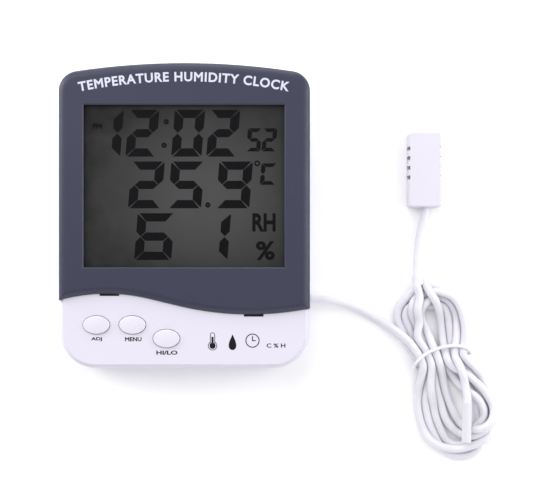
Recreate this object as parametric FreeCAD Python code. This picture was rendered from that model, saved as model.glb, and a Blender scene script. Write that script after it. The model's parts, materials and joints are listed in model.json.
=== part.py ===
"""Digital max-min thermometer and hygrometer clock with a wired humidity probe and a wired temperature probe.

The instrument lies on its back. X runs across the face, Y up the face and Z out of the display.
The origin is the middle of the back face. All sizes are in millimetres.
"""

import FreeCAD
import Part

import math
import os

from FreeCAD import Placement, Rotation, Vector

# ---- Driving dimensions of the case -------------------------------------------------------------
BODY_WIDTH = 107.0
BODY_HEIGHT = 130.0
BODY_DEPTH = 24.0
TOP_RADIUS = 308.0  # the long curve across the top
TOP_CORNER = 8.5
BOTTOM_CORNER = 15.5
PARTING_Z = 12.0  # where the rear case meets the front
WALL = 2.0
CLEARANCE = 0.2

WHITE_INSET = 0.35  # the white cases stand this far inside the dark bezel's outline
LOWER_FACE_Z = 21.5  # the white front face below the bezel
BEZEL_WALL = 1.8
BEZEL_UNDER_Z = BODY_DEPTH - BEZEL_WALL
BEZEL_LIP_Z = LOWER_FACE_Z + CLEARANCE
CORE_INSET = BEZEL_WALL + CLEARANCE
BEZEL_EDGE_RADIUS = 3.2
CASE_EDGE_RADIUS = 3.0

# The wave between the dark bezel and the white lower face: a crest, a straight and a trough.
CREST = Vector(-33.0, -33.4, 0)
CREST_RADIUS = 76.0
TROUGH = Vector(28.0, -42.2, 0)
TROUGH_RADIUS = 130.0
SNAP_SLOTS_X = (-31.9, 29.5)
SNAP_SLOT_LENGTH = 8.4
SNAP_SLOT_HEIGHT = 0.8

# ---- Display ------------------------------------------------------------------------------------
WINDOW_WIDTH = 85.2
WINDOW_HEIGHT = 68.9
WINDOW_Y = 12.45  # middle of the window
WINDOW_CHAMFER = 0.5
LCD_FRONT_Z = 21.4
GLASS_THICKNESS = 1.1
POLARISER_THICKNESS = 0.2
LCD_WIDTH = 91.0
LCD_TOP_Y = 50.4
LCD_BOTTOM_Y = -25.9
LCD_LEDGE = 3.2  # the front glass overhangs the rear glass by this much at the bottom
BOARD_TOP_Z = 16.2
BOARD_THICKNESS = 1.0

# ---- Buttons ------------------------------------------------------------------------------------
BUTTONS = {"up": (-37.4, -46.5), "mode": (-22.1, -46.5), "max_min": (-7.6, -52.3)}
BUTTON_WIDTH = 11.3
BUTTON_HEIGHT = 7.7
BUTTON_GAP = 0.22
BUTTON_PROUD = 1.3
BUTTON_CROWN = 26.0  # radius of the domed top
DOME_TOP_Z = 18.6

# ---- Back of the case ---------------------------------------------------------------------------
BAY_MIDDLE_Y = 4.0
BAY_LENGTH = 49.0
BAY_WIDTH = 11.8
BAY_TOP_Z = 13.2
BAY_WALL = 1.2
CELL_RADIUS = 5.25
CELL_LENGTH = 44.5
CELL_Z = 7.6
DOOR_LENGTH = 55.6
DOOR_WIDTH = 17.0
DOOR_THICKNESS = 1.4
DOOR_RECESS = 1.8
DOOR_SET_BACK = 0.2
DOOR_TABS_Y = (-1.0, 9.0)

STAND_AXIS_Y = -17.5
STAND_AXIS_Z = 1.4
STAND_LENGTH = 40.0
STAND_WIDTH = 44.0
STAND_KNUCKLE = 1.25
STAND_RECESS_Z = 2.8
PIN_RADIUS = 1.0

KEYHOLE_Y = 47.0
KEYHOLE_RADIUS = 3.75
KEYHOLE_SLOT = 4.0

CASE_SCREWS = ((-46.2, 53.6), (46.2, 53.6), (-46.0, -52.0), (46.0, -52.0))
BOARD_SCREWS = ((-36.0, 54.0), (36.0, 54.0), (-36.0, -31.0), (36.0, -31.0))
HOLDER_POSTS = ((-40.5, -20.8), (40.5, -20.8), (-40.5, 48.4), (40.5, 48.4))
BUZZER = Vector(-30.0, 29.0, 0)
BUZZER_RADIUS = 10.0

# ---- Leads and probes ---------------------------------------------------------------------------
LEAD_RADIUS = 1.75
LEAD_EXIT = Vector(53.9, -36.0, 7.0)
LEAD_TO_HANK = (  # from the case to the tied hank
    LEAD_EXIT,
    Vector(62.5, -36.2, 6.2),
    Vector(71.5, -38.4, 3.2),
    Vector(80.5, -43.0, 2.0),
    Vector(89.0, -48.2, 2.6),
    Vector(96.5, -53.6, 4.6),
    Vector(101.5, -60.6, 5.4),
)
LEAD_TO_PROBE = (  # from the top of the hank to the humidity probe
    Vector(100.6, -35.0, 6.2),
    Vector(100.4, -27.0, 5.4),
    Vector(100.8, -17.0, 3.6),
    Vector(102.0, -7.0, 2.9),
    Vector(103.9, 0.5, 4.0),
    Vector(104.5, 5.6, 4.75),
)
HANK_TIE = Vector(112.0, -63.0, 0)  # where the tie pinches the hank
HANK_TILT = 15.0  # degrees that the hank leans from -Y towards +X
HANK_HEIGHT = 7.2
LOWER_FAN = (26.0, 19.0, 18.6)  # distance of its middle from the tie, half length, half width
UPPER_FAN = (17.4, 15.8, 15.6)
SPLITTER_START = Vector(100.5, -31.0, 5.8)
SPLITTER_END = Vector(100.4, -25.4, 5.2)
SPLITTER_RADIUS = 2.4
WAIST_WIDTH = 24.6
TIE_THICKNESS = 1.1

HUMIDITY_PROBE = Vector(103.7, 20.4, 0)
PROBE_WIDTH = 14.6
PROBE_LENGTH = 32.8
PROBE_DEPTH = 9.5
PROBE_WALL = 1.3
PROBE_SLOTS_Y = tuple(29.45 - 4.2 * i for i in range(4))
PROBE_SLOT_HEIGHT = 1.7
PROBE_SLOT_REACH = 1.4  # through the side wall
PROBE_SLOT_NOTCH = 0.9  # how far each slot shows on the front

TEMPERATURE_PROBE = Vector(122.0, -80.8, 0)  # the end where the lead goes in
TIP_RADIUS = 2.1
TIP_LENGTH = 17.5
TIP_HEADING = -91.5  # degrees from +X

X, Y, Z = Vector(1, 0, 0), Vector(0, 1, 0), Vector(0, 0, 1)


# ---- Shape helpers ------------------------------------------------------------------------------
def box(x0, x1, y0, y1, z0, z1):
    return Part.makeBox(x1 - x0, y1 - y0, z1 - z0, Vector(x0, y0, z0))


def cylinder(radius, start, end):
    return Part.makeCylinder(radius, (end - start).Length, start, end - start)


def arc(centre, radius, start_deg, end_deg):
    """An arc edge from one heading to another, seen from the front."""
    def at(deg):
        turn = math.radians(deg)
        return centre + Vector(radius * math.cos(turn), radius * math.sin(turn), 0)

    middle = (start_deg + end_deg) / 2
    return Part.Arc(at(start_deg), at(middle), at(end_deg)).toShape()


def line(a, b):
    return Part.LineSegment(a, b).toShape()


def end_point(edge):
    return edge.valueAt(edge.LastParameter)


def start_point(edge):
    return edge.valueAt(edge.FirstParameter)


def joined(edges):
    """Closes a chain of edges with straight lines and returns its wire."""
    chain = []
    for edge, following in zip(edges, edges[1:] + edges[:1]):
        chain.append(edge)
        if end_point(edge).distanceToPoint(start_point(following)) > 1e-6:
            chain.append(line(end_point(edge), start_point(following)))
    return Part.Wire(chain)


def prism(wire, z0, z1):
    face = Part.Face(wire)
    face.translate(Vector(0, 0, z0))
    return face.extrude(Vector(0, 0, z1 - z0))


def ellipse_prism(middle, width, height, z0, z1):
    """An upright prism with an oval plan, wider than it is tall."""
    ellipse = Part.Ellipse(Vector(middle[0], middle[1], 0), width / 2, height / 2).toShape()
    return prism(Part.Wire(ellipse), z0, z1)


def filleted_at(shape, radius, wanted):
    """The shape with each edge that wanted() accepts rounded."""
    return shape.makeFillet(radius, [edge for edge in shape.Edges if wanted(edge)])


def lies_at_z(z):
    def wanted(edge):
        bound = edge.BoundBox
        return abs(bound.ZMin - z) < 1e-4 and abs(bound.ZMax - z) < 1e-4

    return wanted


def cut_all(shape, tools):
    return shape.cut(Part.makeCompound(list(tools))) if tools else shape


def whole(shape):
    """The shape as plain solids with no seams left from the booleans."""
    solids = shape.removeSplitter().Solids
    return solids[0] if len(solids) == 1 else Part.makeCompound(solids)


# ---- Outline of the case ------------------------------------------------------------------------
def case_wire(inset):
    """The case's outline, moved inwards by inset."""
    side = BODY_WIDTH / 2
    base = -BODY_HEIGHT / 2 - WHITE_INSET  # only the white cases reach the bottom
    top_middle = Vector(0, BODY_HEIGHT / 2 - TOP_RADIUS, 0)
    corner_x = side - TOP_CORNER
    corner_y = top_middle.y + math.sqrt((TOP_RADIUS - TOP_CORNER) ** 2 - corner_x**2)
    lean = math.degrees(math.atan2(corner_y - top_middle.y, corner_x))
    low_x, low_y = side - BOTTOM_CORNER, base + BOTTOM_CORNER
    return joined([
        arc(Vector(low_x, low_y, 0), BOTTOM_CORNER - inset, -90, 0),
        arc(Vector(corner_x, corner_y, 0), TOP_CORNER - inset, 0, lean),
        arc(top_middle, TOP_RADIUS - inset, lean, 180 - lean),
        arc(Vector(-corner_x, corner_y, 0), TOP_CORNER - inset, 180 - lean, 180),
        arc(Vector(-low_x, low_y, 0), BOTTOM_CORNER - inset, 180, 270),
    ])


def case_prism(inset, z0, z1):
    return prism(case_wire(inset), z0, z1)


def wave_edges(raised):
    """The wave from left to right, moved up its own normal by raised."""
    low = CREST - Vector(0, CREST_RADIUS, 0)
    high = TROUGH + Vector(0, TROUGH_RADIUS, 0)
    across = high - low
    radii = CREST_RADIUS + TROUGH_RADIUS
    straight = math.sqrt(across.Length**2 - radii**2)
    slope = math.degrees(math.atan2(across.x, across.y) - math.atan2(straight, radii))
    crest = arc(low, CREST_RADIUS + raised, 115, 90 - slope)
    trough = arc(high, TROUGH_RADIUS - raised, 270 - slope, 285)
    return [crest, line(end_point(crest), start_point(trough)), trough]


def wave_prism(raised, z0, z1, above=True):
    """Everything above the wave, or below it."""
    edges = wave_edges(raised)
    far_y = BODY_HEIGHT if above else -BODY_HEIGHT
    left, right = start_point(edges[0]), end_point(edges[-1])
    far_left, far_right = Vector(left.x, far_y, 0), Vector(right.x, far_y, 0)
    edges += [line(right, far_right), line(far_right, far_left), line(far_left, left)]
    return prism(Part.Wire(edges), z0, z1)


def wave_y(x):
    """Height of the wave over a place on its crest or trough."""
    if x < (CREST.x + TROUGH.x) / 2:
        return CREST.y - CREST_RADIUS + math.sqrt(CREST_RADIUS**2 - (x - CREST.x) ** 2)
    return TROUGH.y + TROUGH_RADIUS - math.sqrt(TROUGH_RADIUS**2 - (x - TROUGH.x) ** 2)


# ---- Case ---------------------------------------------------------------------------------------
def window_cutter():
    """The display window, with a small bevel at the front."""
    half_w, half_h = WINDOW_WIDTH / 2, WINDOW_HEIGHT / 2
    y0, y1 = WINDOW_Y - half_h, WINDOW_Y + half_h
    opening = box(-half_w, half_w, y0, y1, PARTING_Z, BODY_DEPTH + 1)
    c = WINDOW_CHAMFER
    wide = Part.makePolygon([
        Vector(-half_w - c, y0 - c, BODY_DEPTH), Vector(half_w + c, y0 - c, BODY_DEPTH),
        Vector(half_w + c, y1 + c, BODY_DEPTH), Vector(-half_w - c, y1 + c, BODY_DEPTH),
        Vector(-half_w - c, y0 - c, BODY_DEPTH),
    ])
    narrow = Part.makePolygon([
        Vector(-half_w, y0, BODY_DEPTH - c), Vector(half_w, y0, BODY_DEPTH - c),
        Vector(half_w, y1, BODY_DEPTH - c), Vector(-half_w, y1, BODY_DEPTH - c),
        Vector(-half_w, y0, BODY_DEPTH - c),
    ])
    return opening.fuse(Part.makeLoft([narrow, wide], True, True))


def snap_tabs():
    """The two hooks under the bezel's wavy edge that hold it down."""
    tabs = []
    for x in SNAP_SLOTS_X:
        half = SNAP_SLOT_LENGTH / 2 - 0.5
        y = wave_y(x) + 0.3
        tabs.append(box(x - half, x + half, y, y + 0.9, LOWER_FACE_Z - 3.2, BEZEL_LIP_Z + 0.5))
    return tabs


def snap_slots():
    """Where the bezel's hooks go through the white face."""
    slots = []
    for x in SNAP_SLOTS_X:
        half = SNAP_SLOT_LENGTH / 2
        y = wave_y(x)
        slots.append(box(x - half, x + half, y - SNAP_SLOT_HEIGHT, y + 1.6, 18.0, 23.0))
    return slots


def front_bezel():
    outer = case_prism(0, PARTING_Z + CLEARANCE, BODY_DEPTH)
    outer = outer.common(wave_prism(0, PARTING_Z, BODY_DEPTH + 1))
    outer = filleted_at(outer, BEZEL_EDGE_RADIUS, lies_at_z(BODY_DEPTH))
    hollow = case_prism(BEZEL_WALL, PARTING_Z, BEZEL_LIP_Z)
    recess = case_prism(BEZEL_WALL, BEZEL_LIP_Z, BEZEL_UNDER_Z)
    recess = recess.common(wave_prism(BEZEL_WALL, BEZEL_LIP_Z, BEZEL_UNDER_Z))
    shell = cut_all(outer, [hollow, recess, window_cutter()])
    return shell.fuse(snap_tabs())


def front_bosses():
    """Posts for the case screws and for the board screws."""
    posts = []
    for x, y in CASE_SCREWS:
        posts.append(cylinder(3.4, Vector(x, y, PARTING_Z), Vector(x, y, 20.6)))
    for x, y in BOARD_SCREWS:
        posts.append(cylinder(2.4, Vector(x, y, BOARD_TOP_Z), Vector(x, y, 20.6)))
    return posts


def front_pilot_holes():
    holes = [cylinder(1.26, Vector(x, y, PARTING_Z), Vector(x, y, 19.0)) for x, y in CASE_SCREWS]
    holes += [cylinder(0.86, Vector(x, y, BOARD_TOP_Z), Vector(x, y, 19.5)) for x, y in BOARD_SCREWS]
    return holes


def front_case():
    lower = case_prism(WHITE_INSET, PARTING_Z, LOWER_FACE_Z)
    lower = lower.common(wave_prism(-0.1, PARTING_Z, LOWER_FACE_Z, above=False))

    def outer_rim(edge):
        """The front edge of the white face, without the edge along the wave."""
        middle = edge.valueAt((edge.FirstParameter + edge.LastParameter) / 2)
        near_wave = middle.y > wave_y(middle.x) - 1.0 and abs(middle.x) < BODY_WIDTH / 2 - 1
        return lies_at_z(LOWER_FACE_Z)(edge) and not near_wave

    lower = filleted_at(lower, CASE_EDGE_RADIUS, outer_rim)
    core = case_prism(CORE_INSET, PARTING_Z, LOWER_FACE_Z)
    raised = case_prism(CORE_INSET, LOWER_FACE_Z, BEZEL_UNDER_Z - CLEARANCE)
    raised = raised.common(wave_prism(CORE_INSET, LOWER_FACE_Z, BODY_DEPTH))
    shell = lower.fuse([core, raised])

    plate_z = LOWER_FACE_Z - WALL
    deep = CORE_INSET + WALL
    hollow = case_prism(deep, PARTING_Z, plate_z)
    low_hollow = case_prism(WHITE_INSET + WALL, PARTING_Z, plate_z)
    low_hollow = low_hollow.common(wave_prism(-WALL, PARTING_Z, plate_z, above=False))
    under_display = case_prism(deep, plate_z, plate_z + 0.7)
    under_display = under_display.common(wave_prism(deep, plate_z, LOWER_FACE_Z))
    shell = cut_all(shell, [hollow, low_hollow, under_display])
    shell = shell.fuse(front_bosses())

    display = box(-LCD_WIDTH / 2 - CLEARANCE, LCD_WIDTH / 2 + CLEARANCE,
                  LCD_BOTTOM_Y - CLEARANCE, LCD_TOP_Y + CLEARANCE, plate_z - 1, BODY_DEPTH)
    openings = [display] + snap_slots() + front_pilot_holes()
    for middle in BUTTONS.values():
        wide, tall = BUTTON_WIDTH + 2 * BUTTON_GAP, BUTTON_HEIGHT + 2 * BUTTON_GAP
        openings.append(ellipse_prism(middle, wide, tall, plate_z - 1, LOWER_FACE_Z + 1))
    return cut_all(shell, openings)


def battery_bay():
    """The walls of the battery bay, standing inside the rear case."""
    half_l, half_w = BAY_LENGTH / 2 + BAY_WALL, BAY_WIDTH / 2 + BAY_WALL
    return box(-half_l, half_l, BAY_MIDDLE_Y - half_w, BAY_MIDDLE_Y + half_w,
               0.5, BAY_TOP_Z + BAY_WALL)


def door_recess():
    """The step that the battery door lies in, and the bay behind it."""
    half_l, half_w = DOOR_LENGTH / 2 + CLEARANCE, DOOR_WIDTH / 2 + CLEARANCE
    tools = [
        box(-half_l, half_l, BAY_MIDDLE_Y - half_w, BAY_MIDDLE_Y + half_w, -1, DOOR_RECESS),
        box(-BAY_LENGTH / 2, BAY_LENGTH / 2, BAY_MIDDLE_Y - BAY_WIDTH / 2,
            BAY_MIDDLE_Y + BAY_WIDTH / 2, 0, BAY_TOP_Z),
    ]
    for y in DOOR_TABS_Y:
        tools.append(box(-31.2, -26.4, y - 2.3, y + 2.3, 0.85, 6.0))
    return tools


def stand_recess():
    half = STAND_WIDTH / 2 + 0.6
    low = STAND_AXIS_Y - STAND_LENGTH - 0.6
    pins = Vector(half + 2.2, STAND_AXIS_Y, STAND_AXIS_Z)
    return [
        box(-half, half, low, STAND_AXIS_Y + STAND_KNUCKLE + 0.6, -1, STAND_RECESS_Z),
        cylinder(PIN_RADIUS + 0.08, Vector(-pins.x, pins.y, pins.z), pins),
    ]


def keyhole():
    """A round hole for a screw's head, and the slot above it for its neck."""
    head = cylinder(KEYHOLE_RADIUS, Vector(0, KEYHOLE_Y, -1), Vector(0, KEYHOLE_Y, WALL + 1))
    half = KEYHOLE_SLOT / 2
    slot_top = KEYHOLE_Y + 7.0
    slot = box(-half, half, KEYHOLE_Y, slot_top, -1, WALL + 1)
    end = cylinder(half, Vector(0, slot_top, -1), Vector(0, slot_top, WALL + 1))
    return [head, slot, end]


def rear_case():
    outer = case_prism(WHITE_INSET, 0, PARTING_Z)
    outer = filleted_at(outer, CASE_EDGE_RADIUS, lies_at_z(0))
    wall = WHITE_INSET + WALL
    shell = outer.cut(case_prism(wall, WALL, PARTING_Z))
    ledge = case_prism(wall - 0.5, PARTING_Z - 1.4, PARTING_Z)
    ledge = ledge.cut(case_prism(CORE_INSET + WALL, PARTING_Z - 2, PARTING_Z + 1))
    # The floor is thicker behind the stand's recess and around the battery door's.
    added = [ledge, battery_bay()]
    half = STAND_WIDTH / 2 + 2.0
    added.append(box(-half - 1.4, half + 1.4, STAND_AXIS_Y - STAND_LENGTH - 1.4,
                     STAND_AXIS_Y + 3.4, 1.0, STAND_RECESS_Z + 1.5))
    added.append(box(-32.4, -24.0, BAY_MIDDLE_Y - 10, BAY_MIDDLE_Y + 10, 1.0, 3.6))
    added.append(box(24.0, 30.0, BAY_MIDDLE_Y - 10, BAY_MIDDLE_Y + 10, 1.0, 3.6))
    for side in (-1, 1):
        y = BAY_MIDDLE_Y + side * (BAY_WIDTH / 2 + 2.6)
        added.append(box(-30, 30, y - 1.9, y + 1.9, 1.0, 3.6))
    for x, y in CASE_SCREWS:
        added.append(cylinder(4.2, Vector(x, y, 1.0), Vector(x, y, PARTING_Z)))
    buzzer_ring = cylinder(BUZZER_RADIUS + 1.6, BUZZER + Z * 1.0, BUZZER + Z * 3.4)
    added.append(buzzer_ring.cut(cylinder(BUZZER_RADIUS + 0.2, BUZZER + Z * 1.0, BUZZER + Z * 4.0)))
    shell = shell.fuse(added)
    tools = door_recess() + stand_recess() + keyhole()
    for x, y in CASE_SCREWS:
        tools.append(cylinder(3.0, Vector(x, y, -1), Vector(x, y, 8.0)))
        tools.append(cylinder(1.6, Vector(x, y, 7.0), Vector(x, y, PARTING_Z + 1)))
    hole_start = Vector(BODY_WIDTH / 2 - 6, LEAD_EXIT.y, LEAD_EXIT.z)
    tools.append(cylinder(2.6, hole_start, LEAD_EXIT + X * 2))
    shell = cut_all(shell, tools)
    # The fused bosses and ribs are trimmed to the case's own outside.
    return shell.common(outer)


def battery_door():
    half_l, half_w = DOOR_LENGTH / 2, DOOR_WIDTH / 2
    top = DOOR_SET_BACK + DOOR_THICKNESS
    plate = box(-half_l, half_l, BAY_MIDDLE_Y - half_w, BAY_MIDDLE_Y + half_w, DOOR_SET_BACK, top)
    corners = [e for e in plate.Edges if abs(e.BoundBox.ZLength - DOOR_THICKNESS) < 1e-3
               and e.BoundBox.XMin > 0]
    plate = plate.makeFillet(1.5, corners)
    for y in DOOR_TABS_Y:
        plate = plate.fuse(box(-30.3, -half_l + 1, y - 2.0, y + 2.0, 0.95, top))
    ribs = []
    for i in range(6):
        x = 14.0 + 1.8 * i
        ribs.append(box(x, x + 0.8, BAY_MIDDLE_Y - 4.5, BAY_MIDDLE_Y + 4.5, 0, DOOR_SET_BACK + 0.35))
    return cut_all(plate, ribs)


def stand():
    """The fold-out leg: a ribbed plate with a knuckle and two pins."""
    half = STAND_WIDTH / 2
    tip_y = STAND_AXIS_Y - STAND_LENGTH
    plate = box(-half, half, tip_y, STAND_AXIS_Y, 0.3, 2.3)
    corners = [e for e in plate.Edges if abs(e.BoundBox.ZLength - 2.0) < 1e-3
               and e.BoundBox.YMax < STAND_AXIS_Y - 1]
    plate = plate.makeFillet(6.0, corners)
    knuckle = cylinder(STAND_KNUCKLE, Vector(-half, STAND_AXIS_Y, STAND_AXIS_Z),
                       Vector(half, STAND_AXIS_Y, STAND_AXIS_Z))
    pin_x = half + 2.4
    pins = cylinder(PIN_RADIUS, Vector(-pin_x, STAND_AXIS_Y, STAND_AXIS_Z),
                    Vector(pin_x, STAND_AXIS_Y, STAND_AXIS_Z))
    window = box(-half + 8, half - 8, tip_y + 12, STAND_AXIS_Y - 8, 0, 3)
    uprights = [e for e in window.Edges if abs(e.BoundBox.ZLength - 3.0) < 1e-3]
    window = window.makeFillet(3.0, uprights)
    finger = cylinder(6.0, Vector(0, tip_y - 2.5, 0), Vector(0, tip_y - 2.5, 3))
    return cut_all(plate.fuse([knuckle, pins]), [window, finger])


# ---- Display stack and electronics --------------------------------------------------------------
def lcd_front_polariser():
    return box(-LCD_WIDTH / 2 + 1, LCD_WIDTH / 2 - 1, LCD_BOTTOM_Y + LCD_LEDGE,
               LCD_TOP_Y - 1, LCD_FRONT_Z - POLARISER_THICKNESS, LCD_FRONT_Z)


def lcd_front_glass():
    top = LCD_FRONT_Z - POLARISER_THICKNESS
    return box(-LCD_WIDTH / 2, LCD_WIDTH / 2, LCD_BOTTOM_Y, LCD_TOP_Y, top - GLASS_THICKNESS, top)


def lcd_rear_glass():
    top = LCD_FRONT_Z - POLARISER_THICKNESS - GLASS_THICKNESS
    return box(-LCD_WIDTH / 2, LCD_WIDTH / 2, LCD_BOTTOM_Y + LCD_LEDGE, LCD_TOP_Y,
               top - GLASS_THICKNESS, top)


def lcd_reflector():
    top = LCD_FRONT_Z - POLARISER_THICKNESS - 2 * GLASS_THICKNESS
    return box(-LCD_WIDTH / 2 + 1, LCD_WIDTH / 2 - 1, LCD_BOTTOM_Y + LCD_LEDGE + 1,
               LCD_TOP_Y - 1, top - 0.25, top)


def lcd_holder():
    """The frame between the board and the glass."""
    top = LCD_FRONT_Z - POLARISER_THICKNESS - 2 * GLASS_THICKNESS - 0.25
    low_y = LCD_BOTTOM_Y + LCD_LEDGE + 0.4
    ring = box(-44.6, 44.6, low_y, LCD_TOP_Y - 0.4, BOARD_TOP_Z, top)
    ring = ring.cut(box(-41.6, 41.6, low_y + 3, LCD_TOP_Y - 3.4, BOARD_TOP_Z, top))
    posts = [cylinder(1.2, Vector(x, y, BOARD_TOP_Z - 0.6), Vector(x, y, BOARD_TOP_Z))
             for x, y in HOLDER_POSTS]
    return ring.fuse(posts)


def zebra_connector():
    """The striped rubber strip that joins the board to the glass."""
    top = LCD_FRONT_Z - POLARISER_THICKNESS - GLASS_THICKNESS
    return box(-40, 40, LCD_BOTTOM_Y + 0.4, LCD_BOTTOM_Y + LCD_LEDGE - 0.3, BOARD_TOP_Z, top)


def main_board():
    low = BOARD_TOP_Z - BOARD_THICKNESS
    board = box(-42, 42, -59.0, 57.0, low, BOARD_TOP_Z)
    holes = [cylinder(1.1, Vector(x, y, low - 1), Vector(x, y, BOARD_TOP_Z + 1))
             for x, y in BOARD_SCREWS]
    holes += [cylinder(1.3, Vector(x, y, low - 1), Vector(x, y, BOARD_TOP_Z + 1))
              for x, y in HOLDER_POSTS]
    return cut_all(board, holes)


def controller_blob():
    """The epoxy drop over the bare chip."""
    ball = Part.makeSphere(12.0, Vector(0, 12, BOARD_TOP_Z - 10.4))
    return ball.common(box(-9, 9, 3, 21, BOARD_TOP_Z, BOARD_TOP_Z + 3))


def quartz_crystal():
    y, z = -12.0, BOARD_TOP_Z + 1.0
    return cylinder(1.0, Vector(18, y, z), Vector(24, y, z))


def chip_components():
    """Small resistors and capacitors."""
    parts = []
    for i in range(5):
        for j in range(2):
            x, y = -26 + 4.2 * i, -4 - 7.0 * j
            parts.append(box(x, x + 2.0, y, y + 1.25, BOARD_TOP_Z, BOARD_TOP_Z + 0.6))
    return Part.makeCompound(parts)


def keypad_mat():
    """The rubber mat with a hollow dome under each button."""
    low, high = BOARD_TOP_Z, BOARD_TOP_Z + 1.0
    bar = box(-37.4, -7.6, -50.5, -47.5, low, high)
    pads, hollows = [bar], []
    for x, y in BUTTONS.values():
        pads.append(ellipse_prism((x, y), 13.0, 9.6, low, high))
        pads.append(Part.makeCone(3.6, 2.8, DOME_TOP_Z - low, Vector(x, y, low)))
        hollows.append(Part.makeCone(3.0, 2.2, DOME_TOP_Z - 0.8 - low, Vector(x, y, low)))
    return cut_all(pads[0].fuse(pads[1:]), hollows)


def contact_pill(name):
    x, y = BUTTONS[name]
    top = DOME_TOP_Z - 0.8
    return cylinder(1.6, Vector(x, y, top - 0.6), Vector(x, y, top))


def button(name):
    """An oval cap with a crowned top, over a flange that the dome pushes up."""
    x, y = BUTTONS[name]
    top = LOWER_FACE_Z + BUTTON_PROUD
    flange_top = LOWER_FACE_Z - WALL - 0.1
    cap = ellipse_prism((x, y), BUTTON_WIDTH, BUTTON_HEIGHT, flange_top - 0.4, top + 1)
    crown = Part.makeSphere(BUTTON_CROWN, Vector(x, y, top - BUTTON_CROWN))
    cap = cap.common(crown)
    cap = filleted_at(cap, 0.5, lambda edge: edge.BoundBox.ZMin > LOWER_FACE_Z)
    flange = ellipse_prism((x, y), BUTTON_WIDTH + 2.0, BUTTON_HEIGHT + 2.0,
                           DOME_TOP_Z, flange_top)
    return cap.fuse(flange)


def piezo_buzzer():
    """A brass disc with a smaller ceramic one on it."""
    brass = cylinder(BUZZER_RADIUS, BUZZER + Z * WALL, BUZZER + Z * (WALL + 0.25))
    ceramic = cylinder(0.7 * BUZZER_RADIUS, BUZZER + Z * (WALL + 0.25), BUZZER + Z * (WALL + 0.5))
    return brass.fuse(ceramic)


# ---- Battery ------------------------------------------------------------------------------------
def battery_cell():
    end = BAY_LENGTH / 2 - 0.55
    y, z = BAY_MIDDLE_Y, CELL_Z
    nub_base = end - 1.2
    body = cylinder(CELL_RADIUS, Vector(end - CELL_LENGTH, y, z), Vector(nub_base, y, z))
    body = body.makeFillet(0.5, [e for e in body.Edges if e.Curve.TypeId == "Part::GeomCircle"])
    return body.fuse(cylinder(1.9, Vector(nub_base, y, z), Vector(end, y, z)))


def contact_plate(x0, x1):
    return box(x0, x1, BAY_MIDDLE_Y - 4.6, BAY_MIDDLE_Y + 4.6, 3.0, BAY_TOP_Z - 0.4)


def positive_contact():
    end = BAY_LENGTH / 2
    return contact_plate(end - 0.5, end - 0.1)


def negative_contact():
    return contact_plate(-BAY_LENGTH / 2 + 0.1, -BAY_LENGTH / 2 + 0.5)


def negative_spring():
    """A coil spring between the plate and the cell."""
    wire_radius = 0.32
    start = -BAY_LENGTH / 2 + 0.5 + wire_radius + 0.02
    end = BAY_LENGTH / 2 - 0.55 - CELL_LENGTH - wire_radius - 0.02
    helix = Part.makeHelix(0.95, end - start, 3.2)
    profile = Part.Wire(Part.Circle(Vector(3.2, 0, 0), Y, wire_radius).toShape())
    coil = Part.Wire(helix).makePipeShell([profile], True, True)
    coil.Placement = Placement(Vector(start, BAY_MIDDLE_Y, CELL_Z), Rotation(Z, X))
    return coil


# ---- Fasteners ----------------------------------------------------------------------------------
def screw(x, y, head_z, tip_z, shank_radius, head_radius, head_height):
    """A pan-head screw driven towards +Z, with a cross in its head."""
    head = cylinder(head_radius, Vector(x, y, head_z - head_height), Vector(x, y, head_z))
    rim = [e for e in head.Edges if abs(e.BoundBox.ZMax - head_z + head_height) < 1e-4]
    head = head.makeFillet(head_height * 0.35, rim)
    shank = cylinder(shank_radius, Vector(x, y, head_z), Vector(x, y, tip_z))
    low = head_z - head_height - 0.5
    arm, half = head_radius * 0.6, head_radius * 0.12
    cross = [box(x - arm, x + arm, y - half, y + half, low, head_z - head_height * 0.45),
             box(x - half, x + half, y - arm, y + arm, low, head_z - head_height * 0.45)]
    return cut_all(head.fuse(shank), cross)


def case_screws():
    return Part.makeCompound([screw(x, y, 8.0, 18.5, 1.24, 2.6, 1.8) for x, y in CASE_SCREWS])


def board_screws():
    under = BOARD_TOP_Z - BOARD_THICKNESS
    return Part.makeCompound([screw(x, y, under, 19.2, 0.84, 1.7, 1.1) for x, y in BOARD_SCREWS])


# ---- Lead ---------------------------------------------------------------------------------------
def rounded_route(points):
    """Straight runs joined by tangent arcs as large as the runs allow, and the arcs' radii."""
    edges, radii, at = [], [], points[0]
    for i in range(1, len(points) - 1):
        before, after = points[i] - points[i - 1], points[i + 1] - points[i]
        back, forward = before.Length, after.Length
        turn = before.getAngle(after)
        reach = 0.45 * min(back, forward)
        radius = reach / math.tan(turn / 2)
        enter = points[i] - before * (reach / back)
        leave = points[i] + after * (reach / forward)
        bisector = after * (1 / forward) - before * (1 / back)
        bisector.normalize()
        middle = points[i] + bisector * (radius / math.cos(turn / 2) - radius)
        edges.append(line(at, enter))
        edges.append(Part.Arc(enter, middle, leave).toShape())
        radii.append(radius)
        at = leave
    edges.append(line(at, points[-1]))
    return Part.Wire(edges), radii


def lead_tube(name, points):
    path, radii = rounded_route(list(points))
    heading = points[1] - points[0]
    profile = Part.Wire(Part.Circle(points[0], heading, LEAD_RADIUS).toShape())
    tube = path.makePipeShell([profile], True, False)
    expected = math.pi * LEAD_RADIUS**2 * path.Length
    print(f"{name}: length {path.Length:.1f}, radii {[round(r) for r in radii]}, "
          f"volume over section times length {tube.Volume / expected:.4f}")
    return tube


def on_hank(shape):
    """Places a shape, drawn with the tie at the origin and the lower fan along -Y, on the hank."""
    shape = shape.copy()
    shape.Placement = Placement(HANK_TIE, Rotation(Z, HANK_TILT))
    return shape


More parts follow.
